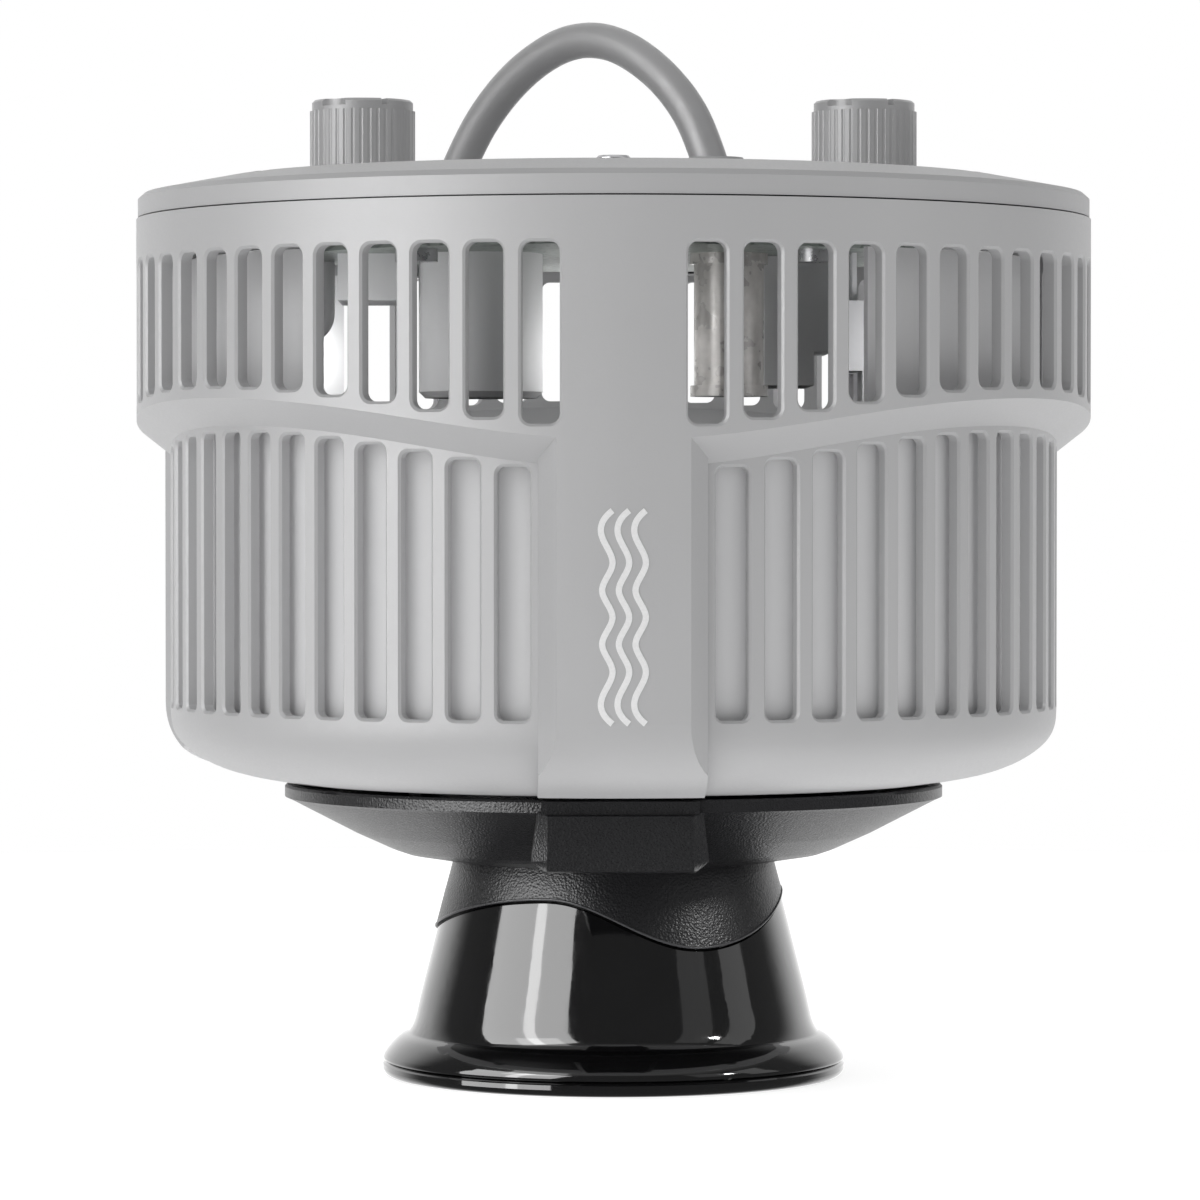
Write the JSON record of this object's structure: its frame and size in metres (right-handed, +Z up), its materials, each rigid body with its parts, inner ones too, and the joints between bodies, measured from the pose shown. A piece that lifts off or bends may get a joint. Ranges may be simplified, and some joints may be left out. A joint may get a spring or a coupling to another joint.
{
  "type": "aquarium pendant light",
  "caption": "Round vented aquarium pendant light with control knobs, a tether loop and a twist-on flared narrow-beam reflector.",
  "frame": {"origin": "centre of the reflector's rim, on the surface that the rim stands on", "axes": "+Z up along the light's axis, -Y towards the front pillar, +X towards the colour knob"},
  "size_m": [0.125, 0.1251, 0.1401],
  "materials": {
    "housing_grey": "fine matte texture",
    "cover_grey": "fine matte texture",
    "knob_grey": "satin, fluted",
    "black_rubber": "matte",
    "grey_rubber": "matte",
    "cable_grey": "smooth jacket",
    "white_print": "printed ink",
    "steel": "plated",
    "zinc": "plated can",
    "brass": "machined",
    "black_plastic": "moulded",
    "board_green": "solder mask",
    "board_white": "white solder mask on an aluminium core",
    "capacitor_sleeve": "shrink sleeve",
    "copper_winding": "enamelled wire",
    "potting_grey": "moulded",
    "duct_grey": "moulded",
    "aluminium": "cast, bead blasted",
    "led_yellow": "phosphor",
    "lens_glass": "polished",
    "wire_black": "insulation",
    "satin_black": "fine grained satin",
    "gloss_black": "polished",
    "mirror_bright": "vacuum metallised"
  },
  "bodies": {
    "light": {"housing_shell": "housing_grey", "top_cover": "cover_grey", "cover_gasket": "black_rubber", "cover_screws": "steel", "mounting_insert": "steel", "front_gland": "grey_rubber", "rear_gland": "grey_rubber", "tether_loop": "cable_grey", "dc_inlet": "black_plastic", "control_jack": "black_plastic", "socket_nuts": "steel", "printed_mark": "white_print", "intensity_pot": "zinc", "colour_pot": "zinc", "pot_nuts": "steel", "driver_board": "board_green", "board_standoffs": "brass", "board_screws": "steel", "bulk_capacitors": "capacitor_sleeve", "wound_choke": "copper_winding", "power_module": "potting_grey", "power_transistors": "black_plastic", "filter_choke": "copper_winding", "terminal_block": "potting_grey", "fan_frame": "black_plastic", "fan_stator": "copper_winding", "fan_bearing": "brass", "fan_screws": "steel", "heat_sink": "aluminium", "sink_screws": "steel", "air_duct_sleeve": "duct_grey", "thermal_pad": "grey_rubber", "led_board": "board_white", "led_emitters": "led_yellow", "led_screws": "steel", "lens": "lens_glass", "lens_gasket": "black_rubber", "lens_ring": "black_plastic", "ring_screws": "steel", "led_cable": "wire_black", "fan_cable": "wire_black"},
    "intensity_knob": {"intensity_knob": "knob_grey", "intensity_shaft": "steel"},
    "colour_knob": {"colour_knob": "knob_grey", "colour_shaft": "steel"},
    "fan_rotor": {"fan_rotor": "black_plastic"},
    "reflector": {"reflector_body": "satin_black", "reflector_cone": "gloss_black", "reflector_rim": "gloss_black", "mirror_liner": "mirror_bright"}
  },
  "joints": [
    {"name": "intensity_turn", "type": "hinge", "parent": "light", "child": "intensity_knob", "pos_m": [-0.03295, 0, 0.1225], "axis": [0, 0, 1], "range_deg": [-150, 150]},
    {"name": "colour_turn", "type": "hinge", "parent": "light", "child": "colour_knob", "pos_m": [0.03295, 0, 0.1225], "axis": [0, 0, 1], "range_deg": [-150, 150]},
    {"name": "fan_spin", "type": "hinge", "parent": "light", "child": "fan_rotor", "pos_m": [0, 0, 0.0755], "axis": [0, 0, 1], "continuous": true},
    {"name": "reflector_twist", "type": "hinge", "parent": "light", "child": "reflector", "pos_m": [0, 0, 0.037], "axis": [0, 0, 1], "range_deg": [-20, 0]}
  ]
}
